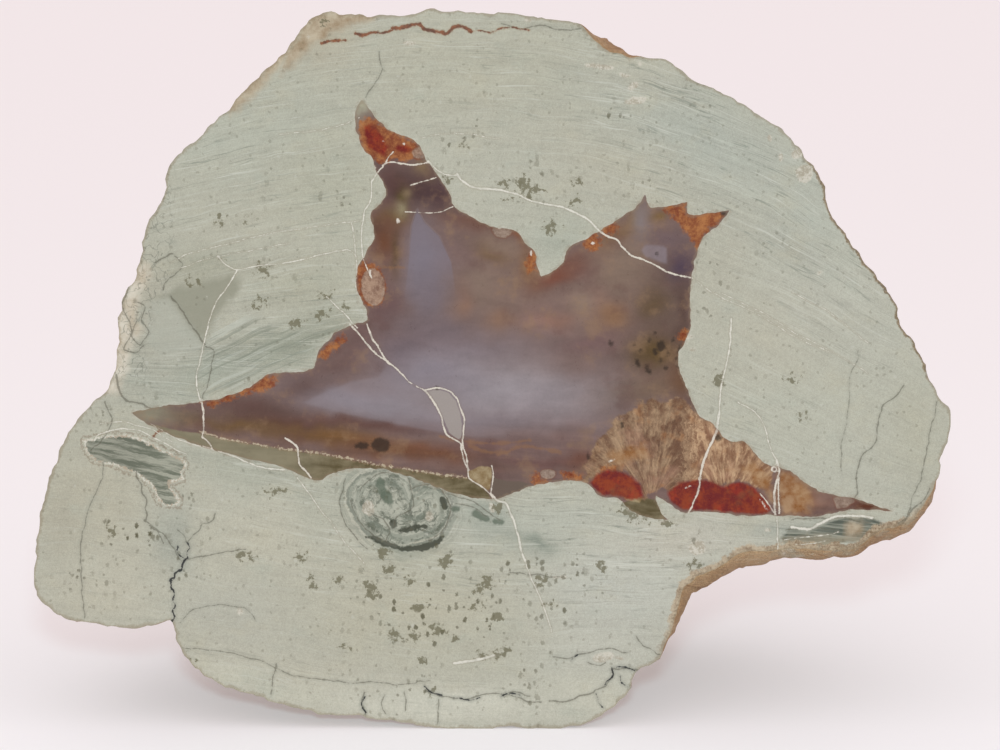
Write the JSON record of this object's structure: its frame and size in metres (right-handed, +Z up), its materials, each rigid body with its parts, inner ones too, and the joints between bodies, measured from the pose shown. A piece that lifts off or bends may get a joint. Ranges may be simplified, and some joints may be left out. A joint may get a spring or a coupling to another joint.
{
  "type": "lithophysa",
  "caption": "Half of a banded grey-green rhyolite nodule, sawn and polished flat, with a star-shaped agate centre; it leans back slightly on a small flat spot.",
  "frame": {"origin": "middle of the bottom of the stone's bounding box, on the surface it stands on", "axes": "+Z up; the sawn face looks along -Y and leans back 12 degrees; +X to the right as seen from in front of the face"},
  "size_m": [0.1376, 0.0626, 0.1056],
  "materials": {
    "host_rock": "polished on the sawn face, rough and weathered brown on the rest",
    "agate": "polished, faintly translucent"
  },
  "bodies": {
    "root": {"host_rock": "host_rock", "agate_core": "agate"}
  },
  "joints": []
}
